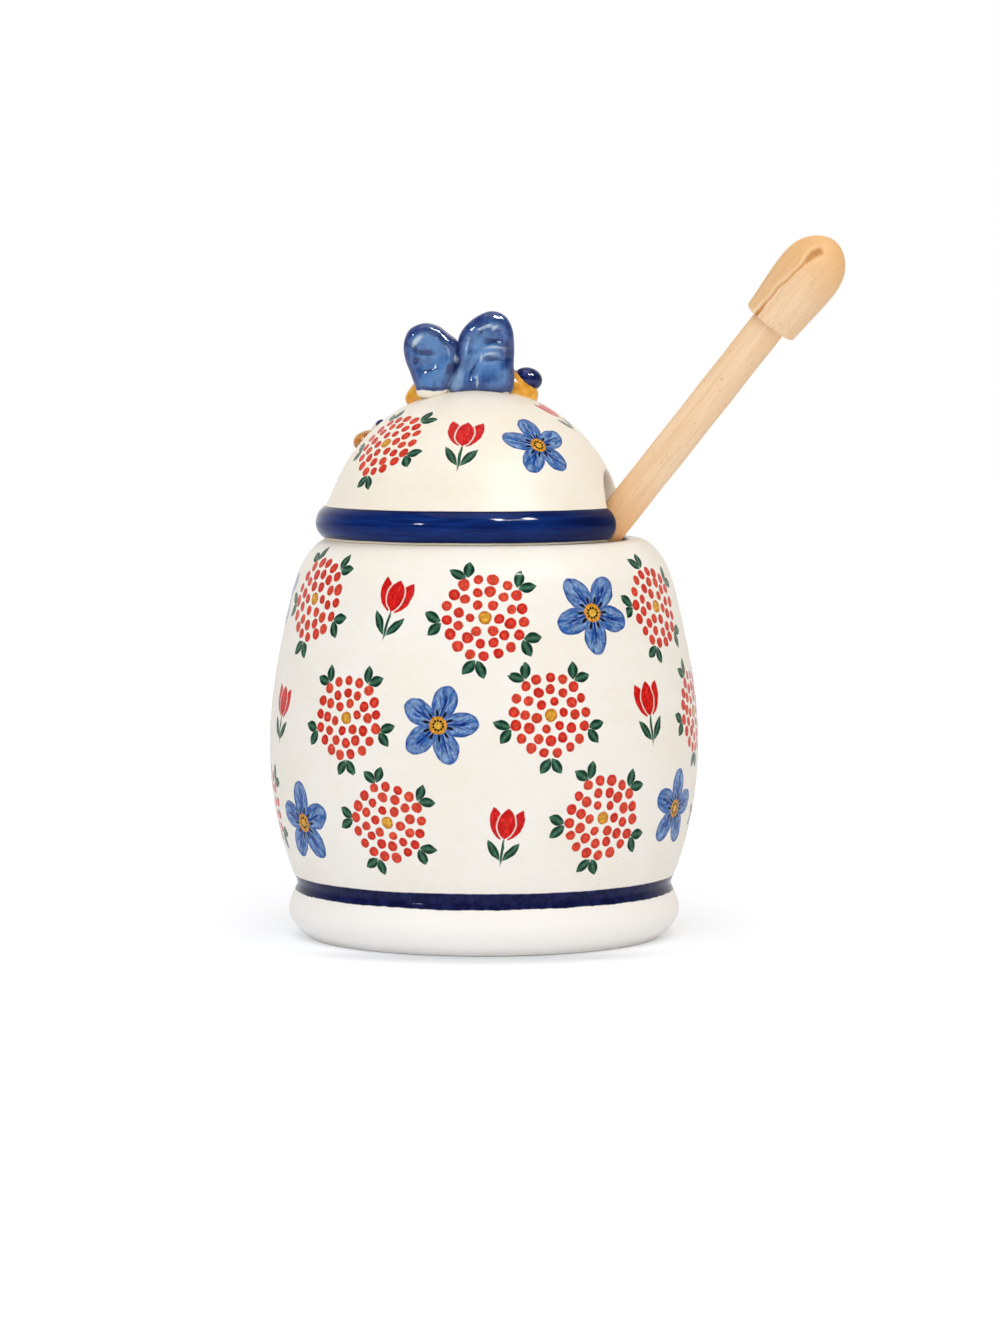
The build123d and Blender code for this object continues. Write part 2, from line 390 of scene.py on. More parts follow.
def pot_outline():
    """The pot's section from the middle of its underside round to the middle of its floor."""
    inner_waist = (waist[0] - pot_wall, waist[1])
    corner = waist[1] - floor_thickness
    mouth_low = (mouth_radius, rim_height - mouth_depth)
    recess_edge = foot_ring[0] - foot_recess
    under = path((0, foot_recess), 9, (recess_edge, foot_recess), 3, (foot_ring[0], 0))
    ring = join_lines(
        path((foot_ring[0], 0), 6, (foot_ring[1] - POT_EDGE, 0)),
        arc((foot_ring[1] - POT_EDGE, POT_EDGE), POT_EDGE, -90, -20, 5),
    )
    foot = smooth_line([ring[-1], (50.6, 6.8), waist], (0.9, 0.55), (-0.35, 1), 26)
    side = [waist, (belly_radius, belly_height), shoulder, neck, (lip_radius, rim_height)]
    side = smooth_line(side, (0.45, 1), (-1, 0), 118)
    mouth = join_lines(
        path((lip_radius, rim_height), 6, (mouth_radius + POT_EDGE, rim_height)),
        arc((mouth_radius + POT_EDGE, rim_height - POT_EDGE), POT_EDGE, 90, 180, 6),
        path((mouth_radius, rim_height - POT_EDGE), 4, mouth_low),
    )
    belly = (belly_radius - pot_wall, belly_height)
    inside = [mouth_low, (shoulder[0] - pot_wall, shoulder[1]), belly, inner_waist]
    inside = smooth_line(inside, (0, -1), (-0.1, -1), 54)
    floor = join_lines(
        arc((inner_waist[0] - corner, waist[1]), corner, 0, -90, 9),
        path((inner_waist[0] - corner, floor_thickness), 10, (0, floor_thickness)),
    )
    return under, ring, foot, side, mouth, inside, floor


def make_pot(painted, plain, bare):
    """The pot: its section turned about +Z. The side is drawn in by 0.07 mm, by up to 0.26 mm of slow
    ripple and by up to 0.08 mm of throwing rings, a sine wave of the height."""
    sections = pot_outline()
    under, ring = sections[:2]
    line = join_lines(*sections)
    travel = length_along(line)
    travel = travel - travel[nearest(line, waist)]
    angle = full_turn(300)
    r, z = line[:, :1], line[:, 1:]
    x, y = r * np.cos(angle), r * np.sin(angle)
    height = z + np.zeros_like(x)
    throwing = 1 + np.sin(z * 0.9 + 0.4 * np.sin(angle))
    uneven = 0.07 + 0.13 * (1 + ripple(x, y, height, 1)) + 0.04 * throwing
    on_side = ramp(z, 3, 11) * ramp(z, rim_height - 4, rim_height - 12)
    shrink = 1 - uneven * on_side / np.maximum(r, 20)
    points = np.stack([x * shrink, y * shrink, height], -1)

    rows = np.full(len(line) - 1, PAINTED)
    glazed_edge, glazed_lip = 3, 3
    rows[:len(under) + len(ring) - 1 - glazed_edge] = BARE
    rows[nearest(line, (lip_radius, rim_height)) + glazed_lip:] = PLAIN
    along = np.repeat(travel, len(angle))
    materials = [painted, plain, bare]
    grids = [points]
    piece = build("pot_painted", "pot_body", "pot", "painted_glaze", grids, materials, [rows], along=along)
    place_motifs(piece, 0, scattered(POT_ROWS, POT_SEED))


# ---- lid

DOME_LINE = [(roll_flat_radius, roll_height), dome_side, dome_shoulder, (0, dome_height)]
DOME = smooth_line(DOME_LINE, (-0.55, 1), (-1, 0), 900)


def lid_lines():
    """Outer and inner line of the lid's section, point by point from the crown to the flange's foot.

    The middles between the pairs run down inside the wall. Their heights are chosen so that rows of
    points follow the notch's arch, half an ellipse: height = spring + rise * sin(a)."""
    def inward(point, lean):
        s, c = sin_cos(lean)
        return point[0] - lid_wall * s, point[1] - lid_wall * c

    inner_dome = [(0, dome_height - lid_wall), inward(dome_shoulder, 42), inward(dome_side, 60)]
    inner_dome = smooth_line(inner_dome + [(flange_inner, roll_height / 2)], (1, 0), (0, -1), 900)[::-1]
    inner_start = 8
    inner_dome = inner_dome[inner_dome[:, 1] >= inner_start]
    share = np.linspace(0, 1, 1500)
    outer, inner = at_shares(DOME, share), at_shares(inner_dome, share)
    middle_z = (outer[:, 1] + inner[:, 1]) / 2

    arch = NOTCH_SPRING + (NOTCH_TOP - NOTCH_SPRING) * np.sin(angles(1, 90, 20))
    rounding = NOTCH_TOP + EDGE_ROUND * (1 - np.cos(angles(8, 90, 9)))
    above = np.linspace(np.interp(rounding[-1], middle_z, share), 1, 46)[1:]
    at = np.concatenate([[0], np.interp(np.concatenate([arch, rounding]), middle_z, share), above])
    outer, inner = (at_shares(line, at, share)[::-1] for line in (outer, inner))

    sag = roll_radius - roll_flat_radius
    bend = (roll_height**2 / 4 + sag**2) / (2 * sag)
    reach = math.degrees(math.asin(roll_height / 2 / bend))
    turn_at = FLANGE_ROUND - flange_depth
    tip = ((flange_outer + flange_inner) / 2, -flange_depth)
    outer_low = join_lines(
        arc((roll_radius - bend, roll_height / 2), bend, reach, -reach, 18),
        path((roll_flat_radius, 0), 5, (flange_outer, 0), 5, (flange_outer, turn_at)),
        arc((flange_outer - FLANGE_ROUND, turn_at), FLANGE_ROUND, 0, -90, 5),
        path((flange_outer - FLANGE_ROUND, -flange_depth), 2, tip),
    )
    inner_low = join_lines(
        path((flange_inner, inner_start), 30, (flange_inner, turn_at)),
        arc((flange_inner + FLANGE_ROUND, turn_at), FLANGE_ROUND, 180, 270, 8),
        path((flange_inner + FLANGE_ROUND, -flange_depth), 2, tip),
    )
    inner_low = at_shares(inner_low, share_along(outer_low))
    crease = len(outer) - 1
    return np.concatenate([outer, outer_low[1:]]), np.concatenate([inner, inner_low[1:]]), crease


def make_lid(painted, plain):
    """The lid: both lines turned about its axis from one edge of the notch round to the other.

    A row's open angle is where its middle line meets the notch. Near the notch each row closes on its
    middle line as (1 - (1 - q / round)^2.4)^(1 / 2.4), q being the distance from the notch, so the
    edge is rounded all the way round, and more so at the ends of the roll."""
    outer, inner, crease = lid_lines()
    middle = (outer + inner) / 2
    middle_r, middle_z = middle[:, :1], middle[:, 1:]
    half = NOTCH_HALF * np.sqrt(1 - ramp(middle[:, 1], NOTCH_SPRING, NOTCH_TOP) ** 2)
    radius = np.maximum(middle[:, 0], 3)
    from_axis = lid_axis_x * -math.sin(NOTCH_AZIMUTH)
    low = NOTCH_AZIMUTH + np.arcsin(np.clip((half - from_axis) / radius, -1, 1))
    high = NOTCH_AZIMUTH - np.arcsin(np.clip((half + from_axis) / radius, -1, 1)) + TURN

    zone, zone_columns, columns = 4.6, 14, 250
    near = zone * (1 - np.cos(angles(0, 90, zone_columns)))
    spread = np.linspace(0, 1, columns)[1:-1]
    step = np.concatenate([near, zone * (1 - 2 * spread), -near[::-1]])
    share = np.concatenate([np.zeros(zone_columns), spread, np.ones(zone_columns)])
    angle = low[:, None] + step / radius[:, None] + share * (high - low)[:, None]

    lateral = from_axis + middle_r * np.sin(angle - NOTCH_AZIMUTH)
    rise = np.maximum(middle_z - NOTCH_SPRING, 0) / (NOTCH_TOP - NOTCH_SPRING)
    level = np.hypot(lateral / NOTCH_HALF, rise)
    far = -99
    gap = np.where(np.cos(angle - NOTCH_AZIMUTH) > 0, (level - 1) * NOTCH_HALF, -far)
    on_roll = ramp(middle_z, 11.5, 8)
    close = 1 - np.clip(gap / (EDGE_ROUND + (ROLL_END_ROUND - EDGE_ROUND) * on_roll), 0, 1)
    full = (1 - close**2.4) ** (1 / 2.4)
    full[half > 0, 0] = full[half > 0, -1] = 0

    def turned(line, uneven):
        r = middle_r + (line[:, :1] - middle_r) * full
        z = middle_z + (line[:, 1:] - middle_z) * full
        x, y = r * np.cos(angle), r * np.sin(angle)
        wobble = uneven * 0.1 * (1 + ripple(x, y, z + rim_height, 2)) * ramp(z, 0, 6)
        shrink = 1 - wobble / np.maximum(r, 20)
        return np.stack([x * shrink + lid_axis_x, y * shrink, z + rim_height], -1)

    travel = -length_along(outer)
    travel = np.repeat(travel - travel[crease], angle.shape[1])
    roll_rows = 17
    rows = [np.where(np.arange(len(outer) - 1) < crease + roll_rows, PAINTED, PLAIN), PLAIN]
    grids, materials = [turned(outer, 1), turned(inner, 0)], [painted, plain]
    piece = build(
        "lid_painted", "lid_shell", "lid", "painted_glaze", grids, materials, rows, around=False,
        along=np.concatenate([travel, np.full(angle.size, far)]),
        cut=np.concatenate([(close * on_roll).ravel(), np.zeros(angle.size)]),
    )
    place_motifs(piece, lid_axis_x, LID_STAMPS)


# ---- bees on the lid

def glazed(node, slot, grids, material, **values):
    """One of the potter's small forms on the lid."""
    build(f"{node}_glazed", node, "lid", slot, grids, [material], **values)


def closed_outline(points, count):
    """A smooth closed line through the points: each span is a cubic whose end slopes are half the step
    between the neighbours on both sides."""
    p = np.array(points, float)
    a, b, c, d = (np.roll(p, shift, 0)[:, None, :] for shift in (1, 0, -1, -2))
    t = np.linspace(0, 1, count, endpoint=False)[None, :, None]
    bend, twist = 2 * a - 5 * b + 4 * c - d, 3 * b - a - 3 * c + d
    return 0.5 * (2 * b + (c - a) * t + bend * t**2 + twist * t**3).reshape(-1, 2)


def make_wing(node, side, outline, middle, tilt, material):
    """A puffy wing: rings shrink from its outline to its middle on both faces.

    At share s of the way from the middle to the edge it is half as thick as
    2.3 * sqrt(1 - ((s - 0.72) / 0.28)^2) past s = 0.72, and sinks by up to 1.2 towards its middle.
    Two crossing waves leave the dents of the fingers that pressed it. Its own plane leans out by
    8 degrees: along the bee, up the wing, out of the wing."""
    s, c = sin_cos(90 + side * 8)
    plane = np.array([[1, 0, 0], [0, c, s], [0, -s, c]])
    line = closed_outline(outline, 12)
    rim = WING_RIM + (1 - WING_RIM) * np.sin(angles(3, 90, 14))
    share = np.concatenate([np.linspace(0, 0.7, 18), rim])
    thick = 2.3 * np.sqrt(1 - ramp(share, WING_RIM, 1) ** 2) - 1.2 * (1 - ramp(share, 0, 0.74) ** 3) ** 2
    share = np.concatenate([share, share[-2::-1]])
    thick = np.concatenate([thick, -thick[-2::-1]])
    flat = np.array(middle) + (line[None] - middle) * share[:, None, None]
    u, v = flat[..., 0], flat[..., 1]
    wave = 0.24 * np.sin(0.7 * u + 1.1 * np.sin(0.5 * v)) + 0.2 * np.sin(0.95 * v - 0.4 * u)
    depth = thick[:, None] + wave * (1 - share[:, None] ** 6) + tilt * (u - middle[0])
    local = np.stack([u, v, depth], -1)
    points = crown + [0, -side * 6.4, 0] + local @ plane
    glazed(node, "blue_glaze", [points], material, local=local, edge=np.repeat(share, len(line)))


def egg(centre, size, turn, rings=0, point=0, rows=44, columns=56):
    """An egg with its length along X before it is turned: x = a cos t, and the other two follow sin t.

    It narrows by the point share towards its tail at -X, and rings press shallow furrows round it."""
    t = np.linspace(0, math.pi, rows)[:, None]
    round_angle = full_turn(columns)
    a, b, c = (v / 2 for v in size)
    slim = 1 - point * np.clip(-np.cos(t), 0, 1)
    furrow = 1 - 0.035 * np.clip(np.cos(rings * t * 2) * 3 - 2, 0, 1) * (rings > 0)
    x = a * np.cos(t) * np.ones_like(round_angle)
    y = b * np.sin(t) * np.cos(round_angle) * slim * furrow
    z = c * np.sin(t) * np.sin(round_angle) * slim * furrow
    dent = 1 - 0.012 * (1 + ripple(9 * x, 9 * y, 9 * z, centre[0]))
    local = np.stack([x, y, z], -1) * dent[..., None]
    return local @ np.array(turn).T + np.array(centre), local


def make_bee(yellow, cobalt, blue):
    """The knob of the lid: a bee with its tail to -X, its head to +X and two pairs of raised wings."""
    abdomen, tail_local = egg(crown + [-7, 0, 0.4], (23.6, 11, 11), about_y(-22), rings=3, point=0.1)
    thorax, chest_local = egg(crown + [7.6, 0, -0.4], (18, 10, 10.5), about_y(20))
    past_stripes = [40, 0, 0]
    local = np.concatenate([tail_local, chest_local + past_stripes])
    glazed("bee_body", "yellow_glaze", [abdomen, thorax], yellow, local=local)
    head, local = egg(crown + [13.5, 0, 1.8], (7.6, 6.6, 6.1), about_y(14), rows=30, columns=40)
    glazed("bee_head", "cobalt_glaze", [head], cobalt, local=local)
    for word, side in (("near", 1), ("far", -1)):
        make_wing(f"wing_{word}_fore", side, FORE_WING, (2.4, 9), 0, blue)
        make_wing(f"wing_{word}_hind", side, HIND_WING, (-11.5, 7.6), 0.03, blue)


def make_small_bee(amber, blue):
    """A small bee that walks round the back of the dome: body, head and two wings."""
    foot, ahead = at_shares(DOME, [0.32, 0.33])
    lean = math.degrees(math.atan2(foot[0] - ahead[0], ahead[1] - foot[1]))
    spin = about_z(SMALL_BEE_AZIMUTH)
    stance = spin @ about_y(90 - lean)
    base = np.array([lid_axis_x, 0, rim_height]) + spin @ np.array([foot[0], 0, foot[1]])

    def at(x, y, z):
        return base + stance @ np.array([x, y, z + 1.6])

    turn = stance @ about_z(90)
    body, local = egg(at(0, 0, 0), (14, 6.2, 6.4), turn, rings=3, point=0.1, rows=36, columns=40)
    glazed("small_bee_body", "yellow_glaze", [body], amber, local=local)
    head, local = egg(at(0.8, -6.8, -0.6), (4, 4, 4), stance, rows=24, columns=30)
    glazed("small_bee_head", "yellow_glaze", [head], amber, local=local)
    for word, side in (("upper", -1), ("lower", 1)):
        turn = stance @ about_z(90 - side * 78) @ about_y(-2)
        middle = at(0, -2, 1) + turn @ np.array([3.2, 0, 0])
        wing, local = egg(middle, (6.7, 4.5, 2), turn, rows=24, columns=30)
        edge = np.clip(np.hypot(local[..., 0] / 3.4, local[..., 1] / 2.3), 0, 1)
        glazed(f"small_bee_wing_{word}", "blue_glaze", [wing], blue, local=local, edge=edge)


# ---- dipper

def turned_wood(node, line, columns, carve, wood, **values):
    """A line (radius, height) turned about the dipper's axis; height 0 is at the pot's lip.

    carve(angle, radius, height) gives how deep the surface is cut there."""
    angle = full_turn(columns)
    r, h = line[:, :1], line[:, 1:] + np.zeros_like(angle)
    reach = np.maximum(r - carve(angle, r, h), 0)
    local = np.stack([reach * np.cos(angle), reach * np.sin(angle), h], -1)
    spin = about_z(dipper_azimuth)
    start = spin @ np.array([rod_at_lip, 0, 0]) + [0, 0, rim_height]
    points = local @ (spin @ about_y(dipper_tilt)).T + start
    build(f"{node}_wood", node, "dipper", "beech", [points], [wood], local=local, **values)


def worn(angle, r, h):
    """Shallow wear round a turned piece: one wave along it and one round it."""
    return 0.035 * (1 + np.sin(0.35 * h + 2 * angle)) + 0.02 * (1 + np.sin(3 * angle + 0.11 * h))


def crack(angle, r, h):
    """Depth of the knob's split: exp(-(distance from its line / width)^2), on top of the wear.

    It is widest in a torn gouge near the top and wider again at the knob's base, and it fades out above
    the gouge. Its line leans round the knob and wanders by two sine waves."""
    share = ramp(h, rod_above_lip, rod_above_lip + knob_length)
    line_at = CRACK_START + CRACK_LEAN * share + 0.018 * np.sin(14 * share) + 0.012 * np.sin(31 * share)
    away = (angle - line_at + math.pi) % TURN - math.pi
    base_split = np.exp(-((share / 0.14) ** 2))
    top_gouge = ramp(share, GOUGE_LOW, GOUGE_LOW + 0.15) ** 0.8 * ramp(share, GOUGE_HIGH, GOUGE_HIGH - 0.07)
    width = 0.32 + 0.3 * base_split + 1.15 * top_gouge
    deep = 0.42 + 0.25 * base_split + 0.3 * top_gouge
    fade = ramp(share, GOUGE_HIGH, GOUGE_HIGH - 1 / 14)
    return deep * fade * np.exp(-((away * np.maximum(r, 2) / width) ** 2)) + worn(angle, r, h)


def make_dipper(wood):
    """Dowel, knob and grooved head, all turned on one axis."""
    head_low = -dipper_below_lip
    head_top = head_low + head_length
    rod_low, rod_high = head_top - 9, rod_above_lip + 12
    rod_line = path((0, rod_low), 4, (rod_radius, rod_low), 120, (rod_radius, rod_high), 4, (0, rod_high))
    turned_wood("dipper_rod", rod_line, 72, worn, wood)

    base, fullness = rod_above_lip, 0.83
    belly = (knob_widest, base + 0.49 * knob_length)
    cheek = (fullness * knob_widest, base + fullness * knob_length)
    knob_line = join_lines(
        path((0, base), 8, (6.6, base)),
        arc((6.6, base + 0.8), 0.8, -90, -10, 6),
        smooth_line([(7.4, base + 0.9), belly, cheek, (0, base + knob_length)], (0.08, 1), (-1, 0), 120),
    )
    angle = full_turn(300)
    r, h = knob_line[:, :1], knob_line[:, 1:]
    deep = crack(angle, r, h)
    beside = crack(angle + 0.9 / np.maximum(r, 2), r, h)
    flake = np.clip(2.5 * beside - 4 * deep - 0.2, 0, 1)
    turned_wood("dipper_knob", knob_line, len(angle), crack, wood, cut=deep, flake=flake)

    widest = (12.6, head_low + 0.45 * head_length)
    shape = smooth_line([(4.8, head_low), widest, (7.5, head_top)], (1, 0.35), (-0.6, 1), 400)
    fins, groove_half, groove_radius = [np.array([[0, head_low], [4.8, head_low]])], 1.1, 6.6
    middles = [head_low + i * head_length / 7 for i in range(1, 7)]
    levels = [head_low] + [middle + s * groove_half for middle in middles for s in (-1, 1)] + [head_top]
    rounded = FIN_EDGE * (1 - np.cos(angles(0, 90, 5)))
    for index in range(0, len(levels), 2):
        low, high = levels[index:index + 2]
        h = np.concatenate([low + rounded, np.linspace(low + 0.4, high - 0.4, 7), high - rounded[::-1]])
        near = np.minimum(np.minimum(h - low, high - h) / FIN_EDGE, 1)
        rim = np.interp(h, shape[:, 1], shape[:, 0]) - FIN_EDGE * (1 - np.sqrt(1 - (1 - near) ** 2))
        fins.append(np.stack([rim, h], 1))
        if high < head_top:
            fins.append(path((groove_radius, high), 5, (groove_radius, levels[index + 2])))
    fins.append(np.array([[0, head_top]]))
    turned_wood("dipper_head", join_lines(*fins), 96, worn, wood)


# ---- node trees

def tone(red, green, blue):
    """A colour for a shader from its 0 to 255 screen values."""
    screen = np.array([red, green, blue]) / 255
    light = np.where(screen <= 0.04045, screen / 12.92, ((screen + 0.055) / 1.055) ** 2.4)
    return (*(float(v) for v in light), 1)


class Value:
    """What comes out of a node. Sums done with it add Math nodes to its tree."""

    def __init__(self, socket):
        self.socket = socket

    def __abs__(self):
        return calc("ABSOLUTE", self)


def node(kind, inputs=None, out=0, tree=None, **settings):
    """Adds a shader node to the tree of its inputs and returns one of its outputs.

    An input that is a plain number or colour is set on the node's own socket."""
    inputs = inputs or {}
    tree = tree or next(v.socket.id_data for v in inputs.values() if isinstance(v, Value))
    made = tree.nodes.new(kind if kind.startswith("NodeGroup") else "ShaderNode" + kind)
    for key, setting in settings.items():
        setattr(made, key, setting)
    for key, value in inputs.items():
        if isinstance(value, Value):
            tree.links.new(value.socket, made.inputs[key])
        else:
            made.inputs[key].default_value = value
    return Value(made.outputs[out]) if made.outputs else None


def calc(operation, *values):
    return node("Math", dict(enumerate(values)), operation=operation)


for word, operation in {"add": "ADD", "sub": "SUBTRACT", "mul": "MULTIPLY", "truediv": "DIVIDE"}.items():
    setattr(Value, f"__{word}__", lambda a, b, o=operation: calc(o, a, b))
    setattr(Value, f"__r{word}__", lambda a, b, o=operation: calc(o, b, a))


def lowest(*values):
    return functools.reduce(lambda a, b: calc("MINIMUM", a, b), values)


def highest(*values):
    return functools.reduce(lambda a, b: calc("MAXIMUM", a, b), values)


def length(x, y):
    return calc("SQRT", x * x + y * y)


def step(value, start, end, low=0, high=1):
    """Eases from low to high as the value goes from start to end."""
    inputs = {"Value": value, "From Min": start, "From Max": end, "To Min": low, "To Max": high}
    return node("MapRange", inputs, interpolation_type="SMOOTHSTEP")


def blend(share, a, b, kind="MIX"):
    """From colour a to colour b."""
    return node("Mix", {0: share, 6: a, 7: b}, out=2, data_type="RGBA", blend_type=kind)


def tint(value, start, end, first, second):
    """From one screen colour to another as the value goes from start to end."""
    return blend(step(value, start, end), tone(*first), tone(*second))


def coats(colour, *paints):
    """Paints laid over a colour one after another: each is its cover and its screen colour."""
    for cover, *screen in paints:
        colour = blend(cover, colour, tone(*screen))
    return colour


def between(share, a, b):
    """From number a to number b."""
    return node("Mix", {0: share, 2: a, 3: b}, data_type="FLOAT")


def noise(where, scale, detail=2, rough=0.5, out=0):
    inputs = {"Vector": where, "Scale": scale, "Detail": detail, "Roughness": rough}
    return node("TexNoise", inputs, out)


def outputs_of(value):
    return [Value(socket) for socket in value.socket.node.outputs]


def split(vector):
    return outputs_of(node("SeparateXYZ", {0: vector}))


def join(x, y, z=0):
    return node("CombineXYZ", {0: x, 1: y, 2: z})


def scaled(vector, factors):
    return node("VectorMath", {0: vector, 1: factors}, operation="MULTIPLY")


def three_random(value):
    """Three random values from 0 to 1 that belong to the value."""
    return split(node("TexWhiteNoise", {"W": value}, out="Color", noise_dimensions="1D"))


def cleared(owner):
    """The empty node tree of a material or a world."""
    owner.use_nodes = True
    owner.node_tree.nodes.clear()
    return owner.node_tree


def here(tree):
    """The point's place on the object, in millimetres."""
    return scaled(node("TexCoord", out="Object", tree=tree), (1 / MM,) * 3)


def kept(tree, name, out="Fac"):
    """A value that the mesh carries."""
    return node("Attribute", out=out, tree=tree, attribute_name=name)


KINDS = {"place": "Vector", "stamp": "Vector", "colour": "Color"}


def group(name, *outputs):
    """Makes a node group out of a function of values. From then on the function adds that group to a
    tree."""

    def make(fill):
        tree = bpy.data.node_groups.new(name, "ShaderNodeTree")
        inputs = list(inspect.signature(fill).parameters)
        for way, words in (("INPUT", inputs), ("OUTPUT", outputs)):
            for word in words:
                kind = "NodeSocket" + KINDS.get(word, "Float")
                tree.interface.new_socket(name=word, in_out=way, socket_type=kind)
        entry = tree.nodes.new("NodeGroupInput")
        results = fill(*(Value(entry.outputs[word]) for word in inputs))
        node("NodeGroupOutput", dict(zip(outputs, results)), tree=tree)
        return lambda *values: outputs_of(node("Group", dict(enumerate(values)), node_tree=tree))

    return make


# ---- painted motifs

UPRIGHT = math.pi / 2
PAINT_EDGE = 0.11


@group("Brush dab", "distance", "across")
def dab(x, y, middle_x, middle_y, turn, half_length, half_width, pointed):
    """One press of the brush: an oval, or a leaf with two points, about its own middle."""
    dx, dy = x - middle_x, y - middle_y
    c, s = calc("COSINE", turn), calc("SINE", turn)
    a, b = dx * c + dy * s, dy * c - dx * s
    u, v = a / half_length, b / half_width
    oval = (length(u, v) - 1) * half_width
    leaf = abs(b) - half_width * (1 - u * u)
    return between(pointed, oval, leaf), v


@group("Copies in a ring", "x", "y", "index")
def copies(x, y, count, phase):
    """Copies in a ring: x runs out from the middle through each copy, y across it."""
    share = TURN / count
    angle = calc("ARCTAN2", y, x) + phase
    index = calc("ROUND", angle / share)
    rest = angle - index * share
    radius = length(x, y)
    index = calc("FLOORED_MODULO", index + 0.25, count)
    return radius * calc("COSINE", rest), radius * calc("SINE", rest), index


def spot(x, y, middle_x, middle_y, turn, half_length, half_width, pointed=0):
    """Distance from the edge of one press of the brush, less than 0 inside it."""
    return dab(x, y, middle_x, middle_y, turn, half_length, half_width, pointed)[0]


def cover_of(distance):
    return step(distance, PAINT_EDGE, -PAINT_EDGE)


def leaf(x, y, middle_x, middle_y, turn, half_length, half_width):
    """Green paint that is thin along the middle of the leaf and pools at its edge."""
    distance, across = dab(x, y, middle_x, middle_y, turn, half_length, half_width, 1)
    return tint(abs(across), 0.6, 0.05, (18, 68, 52), (74, 124, 98)), cover_of(distance)


def layers(*paints):
    """Colour and cover of paints laid one over the other, the lowest first."""
    colour, cover = paints[0]
    for over, over_cover in paints[1:]:
        colour, cover = blend(over_cover, colour, over), highest(cover, over_cover)
    return colour, cover


@group("Dot rosette", "colour", "cover")
def rosette(x, y, seed):
    """Rings of red dots round a yellow middle, with a ring of paired leaves outside them."""
    distance = shade = None
    rings = ((6, 3.9, 0, 1.32), (12, 7, 0.2, 1.4), (17, 10.2, 0.1, 1.42))
    for number, (count, radius, phase, size) in enumerate(rings):
        ring_x, ring_y, index = copies(x, y, count, phase)
        one, two, three = three_random(index + seed * 3.7 + 31 * number)
        dx = ring_x - radius - (one - 0.5) * 0.5
        dy = ring_y - (two - 0.5) * 0.5
        dot = length(dx, dy) - (size - 0.12 + three * 0.26)
        if distance is None:
            distance, shade = dot, one
        else:
            shade = between(calc("LESS_THAN", dot, distance), shade, one)
            distance = lowest(distance, dot)
    red = blend(shade, tone(228, 34, 30), tone(242, 84, 60))
    red = coats(red, (step(distance, -0.2, -1.1) * 0.35, 252, 112, 84))
    middle = spot(x, y, 0, 0, 0, 1.75, 1.75)
    yellow = tint(middle, -0.9, -0.2, (247, 188, 70), (226, 142, 38))
    ring_x, ring_y, _ = copies(x, y, 5, 0.5)
    leaves = [leaf(ring_x, ring_y, 13.6, 1.6 * side, 0.6 * side, 2.5, 1.45) for side in (-1, 1)]
    return layers(*leaves, (red, cover_of(distance)), (yellow, cover_of(middle)))


@group("Tulip", "colour", "cover")
def tulip(x, y, seed):
    """A red flower of three strokes on a green stem with two long leaves."""
    front = spot(x, y, 0, 2.6, UPRIGHT, 4.2, 2.35, 0.55)
    sides = [spot(x, y, 2.5 * side, 2.5, UPRIGHT - 0.34 * side, 4.5, 1.9, 0.7) for side in (-1, 1)]
    side_cover = cover_of(lowest(*sides)) * step(front, 0.1, 0.5)
    streak = noise(join(x * 2.2, y * 0.35, seed), 1, 2)
    red = tint(streak, 0.35, 0.7, (236, 24, 28), (250, 62, 52))
    red = coats(red, (step(front, -1.7, -0.4) * 0.35, 212, 12, 24))
    stem = tone(40, 100, 76), cover_of(spot(x, y, 0, -4.9, UPRIGHT, 3.7, 0.4))
    leaves = [leaf(x, y, 2.3 * side, -4.9, UPRIGHT - 0.62 * side, 3.3, 1.1) for side in (-1, 1)]
    return layers(stem, *leaves, (red, highest(side_cover, cover_of(front))))


@group("Blue flower", "colour", "cover")
def flower(x, y, seed):
    """Five blue petals with dark strokes round a yellow middle with black stamens."""
    ring_x, ring_y, index = copies(x, y, 5, 0)
    petal = spot(ring_x, ring_y, 6, 0, 0, 4.5, 3.25)
    one = three_random(index + seed * 5.1)[0]
    wash = noise(join(ring_x * 0.28, ring_y * 0.9, seed + one * 9), 1, 3, 0.6)
    blue = tint(wash, 0.36, 0.62, (60, 112, 190), (142, 180, 228))
    blue = coats(blue, (step(petal, -0.75, -0.1) * 0.65, 40, 82, 170))
    vein = step(abs(ring_y + (wash - 0.5) * 1.6), 0.42, 0.12) * step(ring_x, 9.2, 6.5)
    fork = step(abs(abs(ring_y) - (ring_x - 3.6) * 0.42), 0.3, 0.08) * step(ring_x, 8.4, 6.4)
    blue = coats(blue, (highest(vein, fork * 0.7), 26, 58, 150))
    middle = spot(x, y, 0, 0, 0, 2.35, 2.35)
    yellow = tint(middle, -1.2, -0.2, (250, 196, 74), (236, 160, 44))
    ring_x, ring_y, _ = copies(x, y, 10, 0.3)
    tips = spot(ring_x, ring_y, 3.25, 0, 0, 0.95, 0.36)
    inner = spot(ring_x, ring_y, 1.25, 0, 0, 0.34, 0.34)
    stamens = tone(22, 20, 26), cover_of(lowest(tips, inner))
    return layers((blue, cover_of(petal)), (yellow, cover_of(middle)), stamens)


